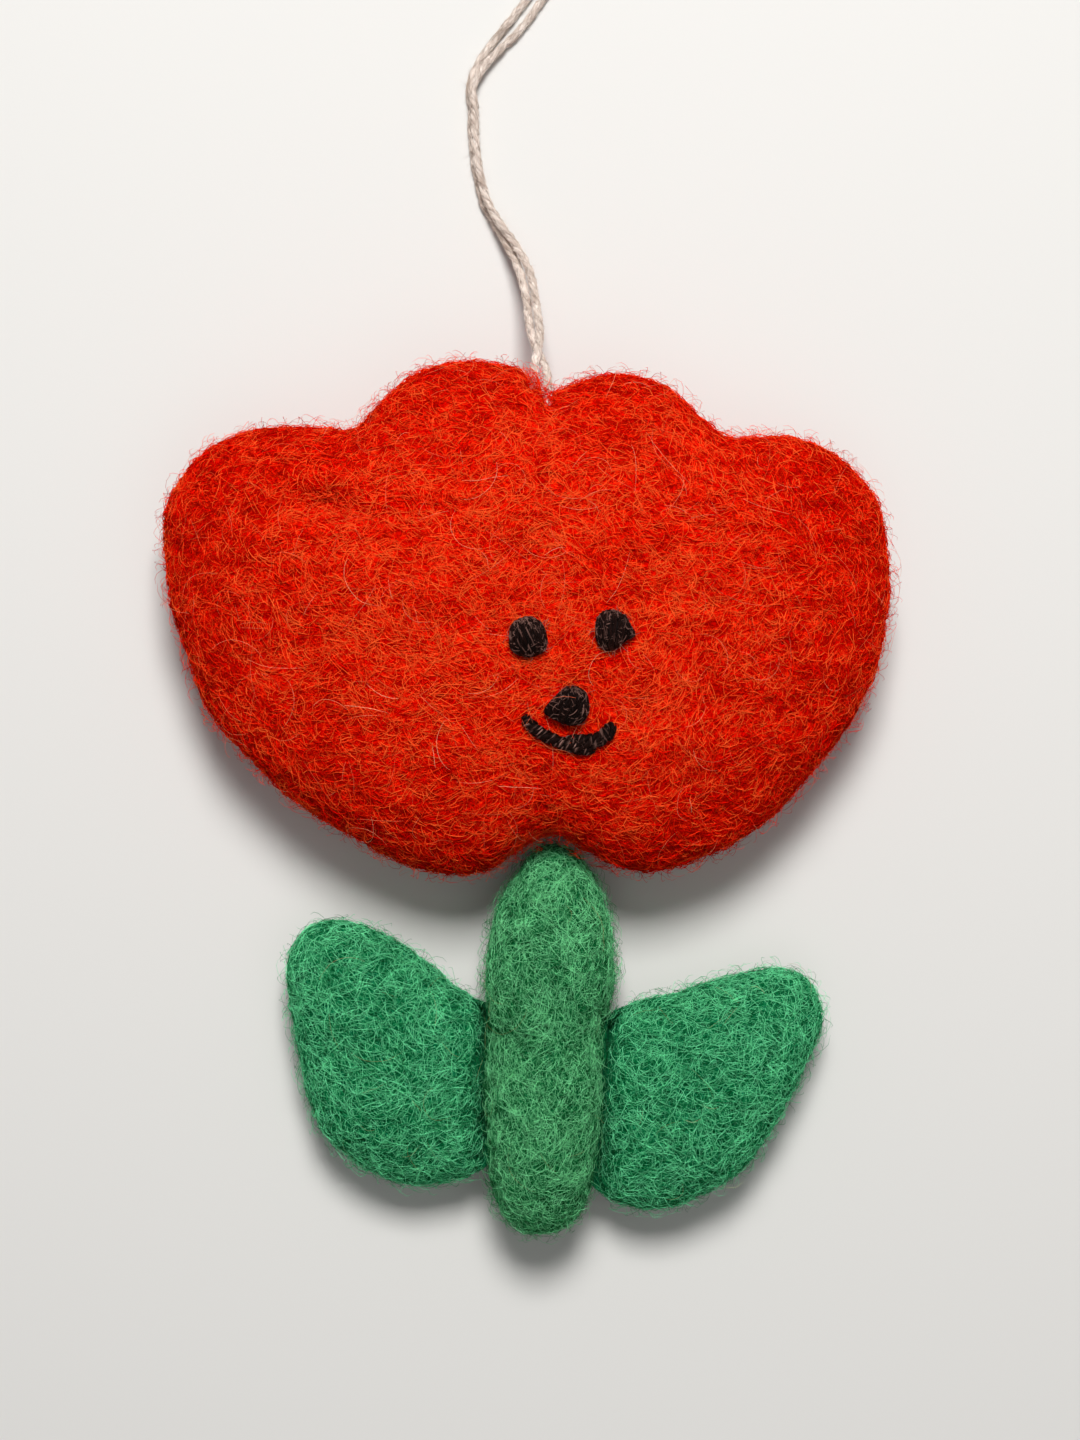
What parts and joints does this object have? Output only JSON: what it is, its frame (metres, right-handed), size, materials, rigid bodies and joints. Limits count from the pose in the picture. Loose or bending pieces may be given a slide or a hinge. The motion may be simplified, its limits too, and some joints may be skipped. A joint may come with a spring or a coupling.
{
  "type": "felt flower ornament",
  "caption": "Needle-felted wool flower with a stitched smiling face, a stem, leaves and a hanging loop of cotton yarn.",
  "frame": {"origin": "on the surface that the flower lies on, under the middle of the felt body's box, with the free cord left out", "axes": "the flower lies on its back: +X to the right as one faces it, +Y from the stem to the petals, +Z out of the face"},
  "size_m": [0.0998, 0.2006, 0.0277],
  "materials": {
    "red_wool": "needle-felted red-orange wool, matt, with a fuzz of loose fibres",
    "core_wool": "undyed core wool, felted firm",
    "green_wool": "needle-felted green wool, matt, with a fuzz of loose fibres",
    "black_yarn": "black embroidery yarn in satin stitch, slight sheen",
    "cotton_yarn": "off-white twisted cotton yarn, matt"
  },
  "bodies": {
    "flower": {"head_felt": "red_wool", "head_core": "core_wool", "face_thread": "black_yarn", "eye_left": "black_yarn", "eye_right": "black_yarn", "nose": "black_yarn", "mouth_stitch_left": "black_yarn", "mouth_stitch_right": "black_yarn", "stem_felt": "green_wool", "leaf_left": "green_wool", "leaf_right": "green_wool", "cord_stitch": "cotton_yarn"},
    "hanging_loop": {"cord_strand_left": "cotton_yarn", "cord_strand_right": "cotton_yarn", "cord_knot": "cotton_yarn", "cord_tail_left": "cotton_yarn", "cord_tail_right": "cotton_yarn"}
  },
  "joints": [
    {"name": "loop_swing", "type": "hinge", "parent": "flower", "child": "hanging_loop", "pos_m": [0.0019, 0.05762, 0.014], "axis": [1, 0, 0], "range_deg": [0, 120]}
  ]
}
